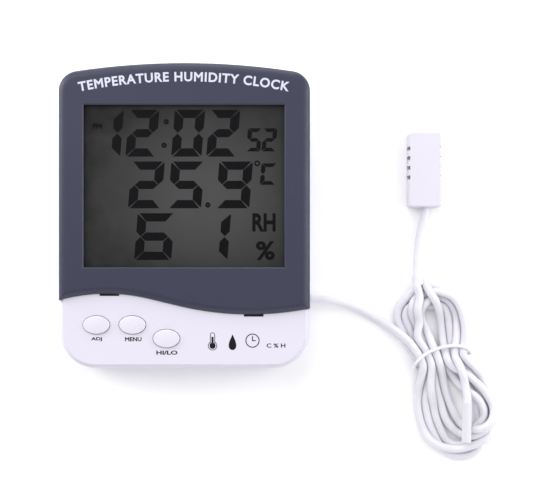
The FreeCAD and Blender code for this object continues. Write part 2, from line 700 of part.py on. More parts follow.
def fan_prism(fan, side):
    distance, half_length, half_width = fan
    ellipse = Part.Ellipse(Vector(0, 0, 0), half_length, half_width).toShape()
    upright = prism(Part.Wire(ellipse), 0, HANK_HEIGHT)
    upright.Placement = Placement(Vector(0, side * distance, 0), Rotation(Z, 90))
    return upright


def lead_hank():
    """The outside of the tied hank: a fan of loops on each side of a pinched waist."""
    half = WAIST_WIDTH / 2
    waist = box(-half, half, -14, 12, 0, HANK_HEIGHT)
    hank = waist.fuse([fan_prism(LOWER_FAN, -1), fan_prism(UPPER_FAN, 1)])
    groove = box(-40, 40, -0.7, 0.7, -1, HANK_HEIGHT + 1)
    groove = groove.cut(box(-half + 0.2, half - 0.2, -1, 1, TIE_THICKNESS + 0.1, HANK_HEIGHT))
    return on_hank(hank.cut(groove))


def cord_tie():
    """The thin band round the waist of the hank."""
    half = WAIST_WIDTH / 2
    t = TIE_THICKNESS
    ring = box(-half - t + 0.2, half + t - 0.2, -0.5, 0.5, 0, HANK_HEIGHT + t + 0.1)
    corners = [e for e in ring.Edges if abs(e.BoundBox.YLength - 1.0) < 1e-3]
    ring = ring.makeFillet(2.0, corners)
    inside = box(-half + 0.2, half - 0.2, -1, 1, t, HANK_HEIGHT + 0.1)
    return on_hank(ring.cut(inside))


def lead_splitter():
    """The sleeve where the temperature probe's lead joins the main lead, bored for the main lead."""
    sleeve = cylinder(SPLITTER_RADIUS, SPLITTER_START, SPLITTER_END)
    sleeve = filleted_at(sleeve, 0.5, lambda e: e.Curve.TypeId == "Part::GeomCircle")
    path, _ = rounded_route(list(LEAD_TO_PROBE))
    heading = LEAD_TO_PROBE[1] - LEAD_TO_PROBE[0]
    profile = Part.Wire(Part.Circle(LEAD_TO_PROBE[0], heading, LEAD_RADIUS + 0.06).toShape())
    return sleeve.cut(path.makePipeShell([profile], True, False))


def cord_grommet():
    """The collar in the case wall, with a flange on each side."""
    wall_out = BODY_WIDTH / 2 - WHITE_INSET
    wall_in = wall_out - WALL
    middle = Vector(0, LEAD_EXIT.y, LEAD_EXIT.z)
    neck = cylinder(2.55, middle + X * (wall_in - 0.9), middle + X * LEAD_EXIT.x)
    outside = cylinder(3.5, middle + X * wall_out, middle + X * LEAD_EXIT.x)
    outside = filleted_at(outside, 0.3, lambda e: abs(e.BoundBox.XMin - LEAD_EXIT.x) < 1e-4)
    inside = cylinder(3.5, middle + X * (wall_in - 0.9), middle + X * wall_in)
    bore = cylinder(LEAD_RADIUS + 0.04, middle + X * 40, middle + X * 60)
    return neck.fuse([outside, inside]).cut(bore)


def lead_inner_end():
    """The lead's last stretch inside the case, and its four cores."""
    middle = Vector(0, LEAD_EXIT.y, LEAD_EXIT.z)
    jacket = cylinder(LEAD_RADIUS, middle + X * 46.0, middle + X * LEAD_EXIT.x)
    cores = []
    for i in range(4):
        y = LEAD_EXIT.y + 0.6 * (i - 1.5)
        z = LEAD_EXIT.z
        bend = [Vector(46, y, z), Vector(43, y, z), Vector(40, y + i * 0.5, z + 2),
                Vector(38.5, y + i * 0.8, z + 5), Vector(38.5, y + i * 0.8, z + 8.15)]
        path, _ = rounded_route(bend)
        ring = Part.Wire(Part.Circle(bend[0], bend[1] - bend[0], 0.26).toShape())
        cores.append(path.makePipeShell([ring], True, False))
    return Part.makeCompound([jacket] + cores)


# ---- Humidity probe -----------------------------------------------------------------------------
def probe_shell(front):
    """One half of the vented box."""
    half_w, half_l = PROBE_WIDTH / 2, PROBE_LENGTH / 2
    cx, cy = HUMIDITY_PROBE.x, HUMIDITY_PROBE.y
    split = PROBE_DEPTH / 2
    block = box(cx - half_w, cx + half_w, cy - half_l, cy + half_l, 0, PROBE_DEPTH)
    uprights = [e for e in block.Edges if abs(e.BoundBox.ZLength - PROBE_DEPTH) < 1e-3]
    block = block.makeFillet(1.4, uprights)
    block = filleted_at(block, 0.9, lambda e: lies_at_z(0)(e) or lies_at_z(PROBE_DEPTH)(e))
    w = PROBE_WALL
    hollow = box(cx - half_w + w, cx + half_w - w, cy - half_l + w, cy + half_l - w,
                 w, PROBE_DEPTH - w)
    mouth = cylinder(LEAD_RADIUS + 0.1, Vector(104.5, cy - half_l - 1, split),
                     Vector(104.5, cy - half_l + 3, split))
    z0, z1 = (split, PROBE_DEPTH + 1) if front else (-1, split)
    keep = box(cx - 20, cx + 20, cy - 30, cy + 30, z0, z1)
    slots = []
    for y in PROBE_SLOTS_Y:
        half_h = PROBE_SLOT_HEIGHT / 2
        low = split if front else 2.2
        for side in (-1, 1):
            edge = cx + side * half_w
            for reach, top in ((PROBE_SLOT_REACH, PROBE_DEPTH - w), (PROBE_SLOT_NOTCH, PROBE_DEPTH + 1)):
                inner = edge - side * reach
                slots.append(box(min(edge + side, inner), max(edge + side, inner),
                                 y - half_h, y + half_h, low, top))
    return cut_all(block.common(keep), [hollow, mouth] + slots)


def probe_board():
    cx, cy = HUMIDITY_PROBE.x, HUMIDITY_PROBE.y
    return box(cx - 4.6, cx + 4.6, cy - 9.0, cy + 13.0, 4.0, 4.8)


def humidity_sensor():
    """The comb-shaped sensing plate in its open cage."""
    cx, cy = HUMIDITY_PROBE.x, HUMIDITY_PROBE.y
    plate = box(cx - 3.6, cx + 3.6, cy + 1.0, cy + 11.0, 4.8, 5.5)
    cage = box(cx - 3.6, cx + 3.6, cy + 1.0, cy + 11.0, 5.5, 7.4)
    windows = [box(cx - 2.9 + 2.1 * i, cx - 1.3 + 2.1 * i, cy + 2, cy + 10, 5.5, 8)
               for i in range(3)]
    return plate.fuse(cut_all(cage, windows))


def probe_thermistor():
    cx, cy = HUMIDITY_PROBE.x, HUMIDITY_PROBE.y
    bead = Part.makeSphere(1.1, Vector(cx, cy - 4.0, 6.2))
    legs = [cylinder(0.2, Vector(cx + dx, cy - 4.0, 4.8), Vector(cx + dx, cy - 4.0, 5.6))
            for dx in (-0.5, 0.5)]
    return bead.fuse(legs)


# ---- Temperature probe --------------------------------------------------------------------------
def along_tip(shape):
    """Places a shape drawn along +X on the temperature probe's line, resting on the hank."""
    shape = shape.copy()
    rest = TEMPERATURE_PROBE + Z * (HANK_HEIGHT + TIP_RADIUS + 0.05)
    shape.Placement = Placement(rest, Rotation(Z, TIP_HEADING))
    return shape


def temperature_probe_cap():
    """The closed tube over the sensing bead."""
    tube = cylinder(TIP_RADIUS, Vector(0, 0, 0), X * TIP_LENGTH)
    tube = filleted_at(tube, 0.4, lambda e: e.BoundBox.XMin > TIP_LENGTH - 1e-4)
    bore = cylinder(LEAD_RADIUS + 0.03, Vector(0, 0, 0), X * 5.0)
    deep = cylinder(1.4, Vector(0, 0, 0), X * (TIP_LENGTH - 1.0))
    return along_tip(tube.cut(bore.fuse(deep)))


def temperature_probe_lead_end():
    return along_tip(cylinder(LEAD_RADIUS, X * -4.0, X * 5.0))


def temperature_probe_bead():
    bead = Part.makeSphere(1.2, X * (TIP_LENGTH - 3.2))
    legs = [cylinder(0.2, Vector(5.0, dy, 0), Vector(TIP_LENGTH - 3.6, dy, 0)) for dy in (-0.5, 0.5)]
    return along_tip(bead.fuse(legs))


PARTS = {
    "front_bezel": front_bezel,
    "front_case": front_case,
    "rear_case": rear_case,
    "battery_door": battery_door,
    "stand": stand,
    "lcd_front_polariser": lcd_front_polariser,
    "lcd_front_glass": lcd_front_glass,
    "lcd_rear_glass": lcd_rear_glass,
    "lcd_reflector": lcd_reflector,
    "lcd_holder": lcd_holder,
    "zebra_connector": zebra_connector,
    "main_board": main_board,
    "controller_blob": controller_blob,
    "quartz_crystal": quartz_crystal,
    "chip_components": chip_components,
    "keypad_mat": keypad_mat,
    "piezo_buzzer": piezo_buzzer,
    "battery_cell": battery_cell,
    "positive_contact": positive_contact,
    "negative_contact": negative_contact,
    "negative_spring": negative_spring,
    "case_screws": case_screws,
    "board_screws": board_screws,
    "cord_grommet": cord_grommet,
    "lead_inner_end": lead_inner_end,
    "lead_to_hank": lambda: lead_tube("lead_to_hank", LEAD_TO_HANK),
    "lead_hank": lead_hank,
    "lead_to_probe": lambda: lead_tube("lead_to_probe", LEAD_TO_PROBE),
    "cord_tie": cord_tie,
    "lead_splitter": lead_splitter,
    "humidity_probe_front": lambda: probe_shell(True),
    "humidity_probe_rear": lambda: probe_shell(False),
    "probe_board": probe_board,
    "humidity_sensor": humidity_sensor,
    "probe_thermistor": probe_thermistor,
    "temperature_probe_cap": temperature_probe_cap,
    "temperature_probe_lead_end": temperature_probe_lead_end,
    "temperature_probe_bead": temperature_probe_bead,
}
for each in BUTTONS:
    PARTS[f"button_{each}"] = lambda each=each: button(each)
    PARTS[f"contact_pill_{each}"] = lambda each=each: contact_pill(each)

os.makedirs("parts", exist_ok=True)
for node, make in PARTS.items():
    shape = whole(make())
    if not shape.isValid() or any(solid.Volume <= 0 for solid in shape.Solids):
        print(f"{node}: not a valid solid")
    shape.exportStep(f"parts/{node}.step")
print(len(PARTS), "nodes")
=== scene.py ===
import json
import math

import bpy
import numpy as np
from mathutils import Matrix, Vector


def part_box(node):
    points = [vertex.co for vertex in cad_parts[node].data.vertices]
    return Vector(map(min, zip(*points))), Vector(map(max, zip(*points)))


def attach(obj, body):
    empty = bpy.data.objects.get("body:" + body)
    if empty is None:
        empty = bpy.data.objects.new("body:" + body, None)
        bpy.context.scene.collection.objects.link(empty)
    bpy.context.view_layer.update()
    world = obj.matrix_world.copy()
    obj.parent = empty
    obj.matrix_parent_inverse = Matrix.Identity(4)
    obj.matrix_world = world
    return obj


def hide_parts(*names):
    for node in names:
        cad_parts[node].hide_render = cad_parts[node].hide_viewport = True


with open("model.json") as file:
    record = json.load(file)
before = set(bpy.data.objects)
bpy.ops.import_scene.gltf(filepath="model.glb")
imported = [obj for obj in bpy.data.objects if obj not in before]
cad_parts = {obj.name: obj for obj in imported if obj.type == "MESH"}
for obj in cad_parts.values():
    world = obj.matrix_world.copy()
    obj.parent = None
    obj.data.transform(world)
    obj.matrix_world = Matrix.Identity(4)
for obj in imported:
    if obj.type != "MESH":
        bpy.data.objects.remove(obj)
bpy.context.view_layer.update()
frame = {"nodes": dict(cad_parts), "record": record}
NODES = frame["nodes"]
MM = 0.001

# ---- Places on the case, in millimetres -----------------------------------------------------------
BEZEL_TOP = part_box("front_bezel")[1].z / MM
LOWER_FACE = 21.5  # the white face under the bezel
DISPLAY_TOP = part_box("lcd_front_polariser")[1].z / MM
PRINT_THICKNESS = 0.03

# ---- The lead: its route where it isn't coiled, in millimetres ------------------------------------
LEAD_DIAMETER = 3.5
LEAD_TO_HANK = (
    (53.9, -36.0, 7.0),
    (62.5, -36.2, 6.2),
    (71.5, -38.4, 3.2),
    (80.5, -43.0, 2.0),
    (89.0, -48.2, 2.9),
    (96.5, -53.6, 5.4),
    (101.5, -60.6, 6.2),
)
LEAD_TO_PROBE = (
    (100.6, -35.0, 6.2),
    (100.4, -27.0, 5.4),
    (100.8, -17.0, 3.6),
    (102.0, -7.0, 2.9),
    (103.9, 0.5, 4.0),
    (104.5, 5.6, 4.75),
)

# ---- The hank, in its own frame: U across it, V along it, the tie at the origin --------------------
HANK_TIE = (112.0, -63.0)
HANK_TILT = math.radians(15)
LOW_ROW = 3.05  # heights of the strands in the tie
HIGH_ROW = 6.15
LAYER = 3.6  # from one layer of strands to the next
STRAND_STEP = 2.0  # between a strand's points
STRAND_MARGIN = 1.03  # how much wider than itself a strand counts while it settles
NEIGHBOURS = 4  # points of one strand this close along it may touch
FALLING = {"steps": 400, "fall": 0.10, "stiffness": 0.03, "grip": 0.05}
EASING = {"steps": 200, "fall": 0.02, "stiffness": 0.05, "grip": 0.015}
LOOP_OPENS_BY = 0.67  # the share of its reach at which a loop has its full width
LOOP_SWING = 0.65  # how far a loop swings towards each edge
PROBE_CAP_RADIUS = 2.15

# Each loop beyond the tie: where it leaves the tie (u, z), which side of the tie it is on, how far
# it reaches, the two edges that it swings to in turn, and how many loops lie under it.
# The main lead enters the tie going down, and each loop ends where the next one starts.
MAIN_LOOPS = (
    {"start": (-9.0, HIGH_ROW), "side": -1, "reach": 40.0, "edges": (-15.3, 12.5), "under": 1},
    {"start": (7.4, LOW_ROW), "side": 1, "reach": 31.5, "edges": (14.0, -15.0), "under": 0},
    {"start": (-7.4, LOW_ROW), "side": -1, "reach": 43.0, "edges": (-12.0, 10.5), "under": 0},
    {"start": (3.7, LOW_ROW), "side": 1, "reach": 27.5, "edges": (8.0, -11.5), "under": 0.5},
    {"start": (-3.7, LOW_ROW), "side": -1, "reach": 35.5, "edges": (-5.6, 16.5), "under": 1},
    {"start": (9.0, HIGH_ROW), "side": 1, "reach": 30.5, "edges": (13.5, -9.0), "under": 1},
    {"start": (0.0, LOW_ROW), "side": -1, "reach": 38.0, "edges": (12.0, -10.9), "under": 1},
)
MAIN_END = (-5.4, HIGH_ROW)
BRANCH_LOOPS = (
    {"start": (1.8, HIGH_ROW), "side": -1, "reach": 34.5, "edges": (16.3, -0.8), "under": 1},
    {"start": (-1.8, HIGH_ROW), "side": 1, "reach": 28.5, "edges": (-5.5, 10.0), "under": 2},
)
BRANCH_END = (5.4, HIGH_ROW)
BRANCH_LEAVES_TIE = [6.4, -6.0, 8.8]
TO_HUMIDITY_PROBE = ((-6.9, 8.5, 9.5), (-6.9, 16.0, 12.5), (-5.9, 23.0, 12.5), (-3.8, 30.0, 9.5))
FROM_SLEEVE = (
    (1.0, 36.5, 5.8),
    (1.1, 33.5, 6.3),
    (2.4, 30.0, 8.5),
    (4.0, 25.0, 10.5),
    (4.4, 16.0, 11.0),
    (2.9, 7.0, 9.0),
)
SLEEVE = ((100.5, -31.0, 5.8), (100.4, -25.4, 5.2))  # its two ends
SLEEVE_RADIUS = 2.15
SLEEVE_FLARE = 1.7  # how much wider it is at the end with both leads
SLEEVE_STEPS = 24
TIE_RADIUS = 0.7
TIE_ARCH = 6.0  # how far the wire bows along the hank
TIE_EDGE = 12.7  # from the hank's middle to the sides of the wire
TIE_SHOULDER = 4.0  # height of the wire at its sides
TIE_REST = (4.4, 2.6)  # the least height over the strands: at the sides, and what the middle adds


def mesh_object(name, vertices, faces, smooth=False):
    """A mesh object from points in millimetres."""
    mesh = bpy.data.meshes.new(name)
    mesh.from_pydata([Vector(v) * MM for v in vertices], [], faces)
    mesh.update()
    mesh.polygons.foreach_set("use_smooth", [smooth] * len(mesh.polygons))
    made = bpy.data.objects.new(name, mesh)
    bpy.context.scene.collection.objects.link(made)
    return made


def joined_mesh(name, parts, smooth=False):
    """One mesh object from several lists of (vertices, faces)."""
    vertices, faces = [], []
    for part_vertices, part_faces in parts:
        first = len(vertices)
        vertices += list(part_vertices)
        faces += [[first + i for i in face] for face in part_faces]
    return mesh_object(name, vertices, faces, smooth)


# ---- Materials -----------------------------------------------------------------------------------
def srgb(red, green, blue):
    """A linear colour from 0 to 255 screen values."""
    def linear(value):
        value /= 255
        return value / 12.92 if value <= 0.04045 else ((value + 0.055) / 1.055) ** 2.4

    return (linear(red), linear(green), linear(blue), 1.0)


class Finish:
    """A procedural material with shared noise, so that each surface has its own grain."""

    def __init__(self, name, colour, roughness, coat=0.0, metallic=0.0, sheen=0.0, specular=0.5):
        self.material = bpy.data.materials.new(name)
        self.material.use_nodes = True
        self.tree = self.material.node_tree
        self.tree.nodes.clear()
        self.output = self.tree.nodes.new("ShaderNodeOutputMaterial")
        self.shader = self.tree.nodes.new("ShaderNodeBsdfPrincipled")
        self.tree.links.new(self.shader.outputs["BSDF"], self.output.inputs["Surface"])
        self.place = self.tree.nodes.new("ShaderNodeTexCoord").outputs["Object"]
        self.shader.inputs["Base Color"].default_value = colour
        self.shader.inputs["Roughness"].default_value = roughness
        self.shader.inputs["Metallic"].default_value = metallic
        self.shader.inputs["Coat Weight"].default_value = coat
        self.shader.inputs["Sheen Weight"].default_value = sheen
        self.shader.inputs["Specular IOR Level"].default_value = specular
        self.roughness = roughness
        self.bump = None

    def noise(self, size_mm, detail=3.0, stretch=(1, 1, 1)):
        """Noise whose features are about size_mm across."""
        mapping = self.tree.nodes.new("ShaderNodeMapping")
        mapping.inputs["Scale"].default_value = stretch
        self.tree.links.new(self.place, mapping.inputs["Vector"])
        noise = self.tree.nodes.new("ShaderNodeTexNoise")
        noise.inputs["Scale"].default_value = 1 / (size_mm * MM)
        noise.inputs["Detail"].default_value = detail
        self.tree.links.new(mapping.outputs["Vector"], noise.inputs["Vector"])
        return noise.outputs["Fac"]

    def ramp(self, value, low, high, from_low=0.3, from_high=0.7):
        """A number that runs from low to high as value runs over its usual range."""
        node = self.tree.nodes.new("ShaderNodeMapRange")
        node.inputs["From Min"].default_value = from_low
        node.inputs["From Max"].default_value = from_high
        node.inputs["To Min"].default_value = low
        node.inputs["To Max"].default_value = high
        self.tree.links.new(value, node.inputs["Value"])
        return node.outputs["Result"]

    def vary_colour(self, value, other, amount=1.0):
        """Blends the base colour towards another one where value is high."""
        mix = self.tree.nodes.new("ShaderNodeMix")
        mix.data_type = "RGBA"
        source = self.shader.inputs["Base Color"]
        if source.is_linked:
            self.tree.links.new(source.links[0].from_socket, mix.inputs["A"])
        else:
            mix.inputs["A"].default_value = source.default_value
        mix.inputs["B"].default_value = other
        factor = self.ramp(value, 0.0, amount)
        self.tree.links.new(factor, mix.inputs["Factor"])
        self.tree.links.new(mix.outputs["Result"], source)
        return self

    def vary_roughness(self, value, spread):
        """Moves the roughness up and down by spread as value changes."""
        rough = self.ramp(value, self.roughness - spread, self.roughness + spread)
        self.tree.links.new(rough, self.shader.inputs["Roughness"])
        return self

    def add_bump(self, value, height_mm, strength=1.0):
        """Adds relief on top of any that is there already."""
        node = self.tree.nodes.new("ShaderNodeBump")
        node.inputs["Strength"].default_value = strength
        node.inputs["Distance"].default_value = height_mm * MM
        self.tree.links.new(value, node.inputs["Height"])
        if self.bump is not None:
            self.tree.links.new(self.bump.outputs["Normal"], node.inputs["Normal"])
        self.tree.links.new(node.outputs["Normal"], self.shader.inputs["Normal"])
        self.bump = node
        return self


def moulded(name, colour, roughness, grain_mm=0.35, grain_height=0.012, coat=0.0, shade=0.93,
            specular=0.5):
    """Moulded plastic: a fine spark-eroded grain, slow shade changes and a slightly uneven gloss."""
    finish = Finish(name, colour, roughness, coat=coat, specular=specular)
    darker = tuple(c * shade for c in colour[:3]) + (1.0,)
    finish.vary_colour(finish.noise(14.0, 2.0), darker)
    finish.vary_colour(finish.noise(0.6, 2.0), darker, 0.5)
    finish.vary_roughness(finish.noise(3.0, 4.0), 0.05)
    finish.add_bump(finish.noise(grain_mm, 2.0), grain_height, 0.6)
    return finish.material


def sheath():
    """Soft PVC sheath: satin, with faint drawing lines and a little light passing through."""
    finish = Finish("lead_sheath", srgb(219, 217, 224), 0.42, sheen=0.1)
    finish.vary_colour(finish.noise(5.0, 3.0), srgb(213, 211, 219))
    finish.vary_roughness(finish.noise(1.2, 3.0), 0.07)
    finish.add_bump(finish.noise(0.5, 3.0), 0.02, 0.5)
    finish.shader.inputs["Subsurface Weight"].default_value = 0.15
    finish.shader.inputs["Subsurface Radius"].default_value = (0.8, 0.7, 0.7)
    finish.shader.inputs["Subsurface Scale"].default_value = 1.0 * MM
    return finish.material


PAINTED_SHADE_CENTRE = (9, -4)  # the centre of the painted shade, the lightest place of the display, from its middle
PAINTED_SHADE_STRETCH = 1.15  # how much sooner the painted shade darkens it up and down than across
PAINTED_SHADE_RADII = (12, 58)  # where the painted shade begins to darken the grey, and where it is darkest


def display_film():
    """The polariser: dark grey film with painted shade that darkens it towards the edges of its
    recess, lightest right of the middle, with a faint matt grain.
    """
    finish = Finish("polariser", srgb(67, 67, 67), 0.34, specular=0.09)
    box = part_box("lcd_front_polariser")
    middle = ((box[0] + box[1]) / 2) / MM
    mapping = finish.tree.nodes.new("ShaderNodeMapping")
    across, up = middle.x + PAINTED_SHADE_CENTRE[0], middle.y + PAINTED_SHADE_CENTRE[1]
    mapping.inputs["Location"].default_value = (-across * MM, -up * MM, 0)
    mapping.inputs["Scale"].default_value = (1, PAINTED_SHADE_STRETCH, 0)
    finish.tree.links.new(finish.place, mapping.inputs["Vector"])
    length = finish.tree.nodes.new("ShaderNodeVectorMath")
    length.operation = "LENGTH"
    finish.tree.links.new(mapping.outputs["Vector"], length.inputs[0])
    near, far = (radius * MM for radius in PAINTED_SHADE_RADII)
    # spread carries the painted shade: the grey darkens to near black away from the lightest place,
    # where the recess shades the film
    spread = finish.ramp(length.outputs["Value"], 0.3, 0.7, near, far)
    finish.vary_colour(spread, srgb(26, 26, 27))
    finish.vary_colour(finish.noise(9.0, 3.0), srgb(60, 60, 61), 0.4)
    finish.vary_roughness(finish.noise(2.0, 3.0), 0.04)
    finish.add_bump(finish.noise(0.25, 2.0), 0.004, 0.5)
    return finish.material


def display_ink():
    """The lit segments: nearly black."""
    finish = Finish("display_segments", srgb(9, 9, 11), 0.36, specular=0.08)
    finish.vary_colour(finish.noise(1.5, 3.0), srgb(13, 13, 15))
    finish.vary_roughness(finish.noise(2.0, 3.0), 0.04)
    return finish.material


def print_ink(name, colour, worn):
    """Pad-printed ink, slightly thin in places."""
    finish = Finish(name, colour, 0.45, specular=0.2)
    finish.vary_colour(finish.noise(0.5, 4.0), worn, 0.5)
    finish.vary_roughness(finish.noise(0.8, 3.0), 0.08)
    finish.add_bump(finish.noise(0.2, 2.0), 0.004, 0.5)
    return finish.material


def metal(name, colour, roughness, stretch=(1, 1, 1), metallic=1.0):
    """Rolled or plated metal with fine drawn lines."""
    finish = Finish(name, colour, roughness, metallic=metallic)
    darker = tuple(c * 0.8 for c in colour[:3]) + (1.0,)
    finish.vary_colour(finish.noise(1.5, 4.0, stretch), darker)
    finish.vary_roughness(finish.noise(0.6, 4.0, stretch), 0.1)
    finish.add_bump(finish.noise(0.3, 3.0, stretch), 0.01, 0.5)
    return finish.material


def striped_rubber():
    """The connector strip: thin dark carbon layers between clear ones."""
    finish = Finish("zebra_rubber", srgb(190, 190, 200), 0.6)
    wave = finish.tree.nodes.new("ShaderNodeTexWave")
    wave.bands_direction = "X"
    wave.inputs["Scale"].default_value = 1 / (1.2 * MM)
    finish.tree.links.new(finish.place, wave.inputs["Vector"])
    finish.vary_colour(wave.outputs["Fac"], srgb(30, 30, 32))
    finish.add_bump(wave.outputs["Fac"], 0.02)
    return finish.material


def circuit_board():
    """Green laminate with a faint pattern of tracks under the mask."""
    finish = Finish("circuit_board", srgb(20, 62, 36), 0.35, coat=0.4)
    tracks = finish.tree.nodes.new("ShaderNodeTexBrick")
    tracks.inputs["Scale"].default_value = 1 / (6 * MM)
    tracks.inputs["Mortar Size"].default_value = 0.03
    finish.tree.links.new(finish.place, tracks.inputs["Vector"])
    finish.vary_colour(tracks.outputs["Fac"], srgb(34, 92, 54))
    finish.vary_colour(finish.noise(2.0, 3.0), srgb(14, 46, 27), 0.4)
    finish.add_bump(tracks.outputs["Fac"], 0.02, 0.4)
    return finish.material


def clear_glass():
    """The display's glass: clear, with a slight green."""
    finish = Finish("lcd_glass", srgb(205, 214, 210), 0.06)
    finish.vary_colour(finish.noise(20.0, 2.0), srgb(196, 208, 204))
    finish.vary_roughness(finish.noise(6.0, 2.0), 0.02)
    finish.shader.inputs["Transmission Weight"].default_value = 0.8
    return finish.material


def speckled(name, colour, other, size_mm, roughness, height_mm=0.02):
    """A plain surface broken up by fine noise, for rubber, epoxy and ceramic."""
    finish = Finish(name, colour, roughness)
    finish.vary_colour(finish.noise(size_mm, 4.0), other)
    finish.vary_roughness(finish.noise(size_mm * 2, 3.0), 0.08)
    finish.add_bump(finish.noise(size_mm, 3.0), height_mm, 0.6)
    return finish.material


FINISHES = {
    "slate_plastic": moulded(
        "slate_plastic", srgb(50, 51, 70), 0.4, 0.4, 0.008, shade=0.96, specular=0.32),
    "white_case": moulded("white_case", srgb(209, 205, 218), 0.42, shade=0.985),
    "white_button": moulded(
        "white_button", srgb(211, 207, 218), 0.3, 0.5, 0.006, coat=0.2, shade=0.985),
    "probe_case": moulded("probe_case", srgb(209, 205, 216), 0.4, shade=0.98),
    "probe_cap": moulded("probe_cap", srgb(209, 207, 214), 0.32, 0.5, 0.006, shade=0.98),
    "holder_plastic": moulded("holder_plastic", srgb(222, 222, 216), 0.5),
    "sensor_cage": moulded("sensor_cage", srgb(206, 214, 220), 0.45),
    "tie_plastic": moulded("tie_plastic", srgb(230, 228, 236), 0.38, 0.8, 0.02, shade=0.96),
    "lead_sheath": sheath(),
    "polariser": display_film(),
    "lcd_glass": clear_glass(),
    "reflector": metal("reflector", srgb(186, 188, 184), 0.45),
    "tin_can": metal("tin_can", srgb(200, 200, 200), 0.3, (1, 6, 6)),
    "brass": metal("brass", srgb(200, 164, 92), 0.32),
    "nickel_steel": metal("nickel_steel", srgb(206, 204, 198), 0.25, (8, 1, 1)),
    "screw_steel": metal("screw_steel", srgb(172, 172, 176), 0.35),
    "cell_jacket": metal("cell_jacket", srgb(70, 104, 130), 0.35, (6, 1, 1), metallic=0.5),
    "zebra_rubber": striped_rubber(),
    "circuit_board": circuit_board(),
    "epoxy": speckled("epoxy", srgb(20, 20, 22), srgb(32, 32, 34), 0.8, 0.3),
    "component_body": speckled("component_body", srgb(64, 54, 50), srgb(96, 84, 70), 0.4, 0.5),
    "keypad_rubber": speckled("keypad_rubber", srgb(196, 196, 202), srgb(180, 180, 188), 0.6, 0.6),
    "carbon_rubber": speckled("carbon_rubber", srgb(26, 26, 28), srgb(42, 42, 44), 0.4, 0.7),
}
SEGMENT_INK = display_ink()
BLACK_INK = print_ink("black_print", srgb(10, 10, 15), srgb(24, 23, 30))
WHITE_INK = print_ink("white_print", srgb(202, 202, 216), srgb(188, 188, 202))


def finish_cad_nodes():
    """Gives every CAD node the finish of its own slot in the record."""
    slots = {part["node"]: part["material_slot"] for part in frame["record"]["subparts"]}
    for name, made in NODES.items():
        if not made.data.materials:
            made.data.materials.append(None)
        for index in range(len(made.material_slots)):
            made.material_slots[index].material = FINISHES[slots[name]]


def riding(made, material):
    """A piece on the instrument's own body with its finish."""
    made.data.materials.clear()
    made.data.materials.append(material)
    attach(made, "instrument")
    return made


# ---- The leads: settling the hank ---------------------------------------------------------------
def hank_to_world(points):
    """Points from the hank's frame (u, v, z) to the object's, in millimetres."""
    points = np.asarray(points, float)
    u, v = points[:, 0], points[:, 1]
    x = HANK_TIE[0] + u * math.cos(HANK_TILT) - v * math.sin(HANK_TILT)
    y = HANK_TIE[1] + u * math.sin(HANK_TILT) + v * math.cos(HANK_TILT)
    return np.stack([x, y, points[:, 2]], axis=1)


def world_to_hank(points):
    """Points from the object's frame to the hank's (u, v, z), in millimetres."""
    points = np.asarray(points, float)
    dx, dy = points[:, 0] - HANK_TIE[0], points[:, 1] - HANK_TIE[1]
    u = dx * math.cos(HANK_TILT) + dy * math.sin(HANK_TILT)
    v = -dx * math.sin(HANK_TILT) + dy * math.cos(HANK_TILT)
    return np.stack([u, v, points[:, 2]], axis=1)


def loop_points(loop, end, count=60):
    """One loop from its place in the tie to the next one, in the hank's frame."""
    t = np.linspace(0, 1, count)
    (u0, z0), (u1, z1) = loop["start"], end
    first, second = loop["edges"]
    out = np.sin(math.pi * t) ** 2
    inside = np.clip(out / LOOP_OPENS_BY, 0, 1)
    swing = LOOP_SWING * (first - second) * np.sin(2 * math.pi * t) * np.sin(math.pi * t)
    u = (u0 + (u1 - u0) * t) * (1 - inside) + (first + second) / 2 * inside + swing
    v = loop["side"] * loop["reach"] * out
    z = (z0 + (z1 - z0) * t) * (1 - out) + (LEAD_DIAMETER / 2 + loop["under"] * LAYER) * out
    return np.stack([u, v, z], axis=1)


def evenly(points, step):
    """The same line with points about step apart, and its ends kept.

    It starts the strands that settle in the hank, and places the lead that they lie against."""
    points = np.asarray(points, float)
    along = np.concatenate([[0], np.cumsum(np.linalg.norm(np.diff(points, axis=0), axis=1))])
    count = max(2, round(along[-1] / step) + 1)
    at = np.linspace(0, along[-1], count)
    return np.stack([np.interp(at, along, points[:, k]) for k in range(3)], axis=1)


def rounded(points, times=3):
    """The line with its corners cut, as a quadratic spline has them.

    Like evenly, it serves only to start the settling. The route outside the hank is left as it is."""
    points = np.asarray(points, float)
    for _ in range(times):
        a, b = points[:-1], points[1:]
        cut = np.stack([0.75 * a + 0.25 * b, 0.25 * a + 0.75 * b], axis=1).reshape(-1, 3)
        points = np.concatenate([points[:1], cut[1:-1], points[-1:]])
    return points


def lead_chain(loops, end, before, after):
    """A lead's points through the hank, and which of them the tie holds."""
    ends = [loop["start"] for loop in loops[1:]] + [end]
    stretches = [before] + [loop_points(loop, at) for loop, at in zip(loops, ends)] + [after]
    points, held = list(evenly(before, STRAND_STEP)), []
    for stretch in stretches[1:]:
        held.append(len(points) - 1)
        points += list(evenly(stretch, STRAND_STEP)[1:])
    return np.array(points), held


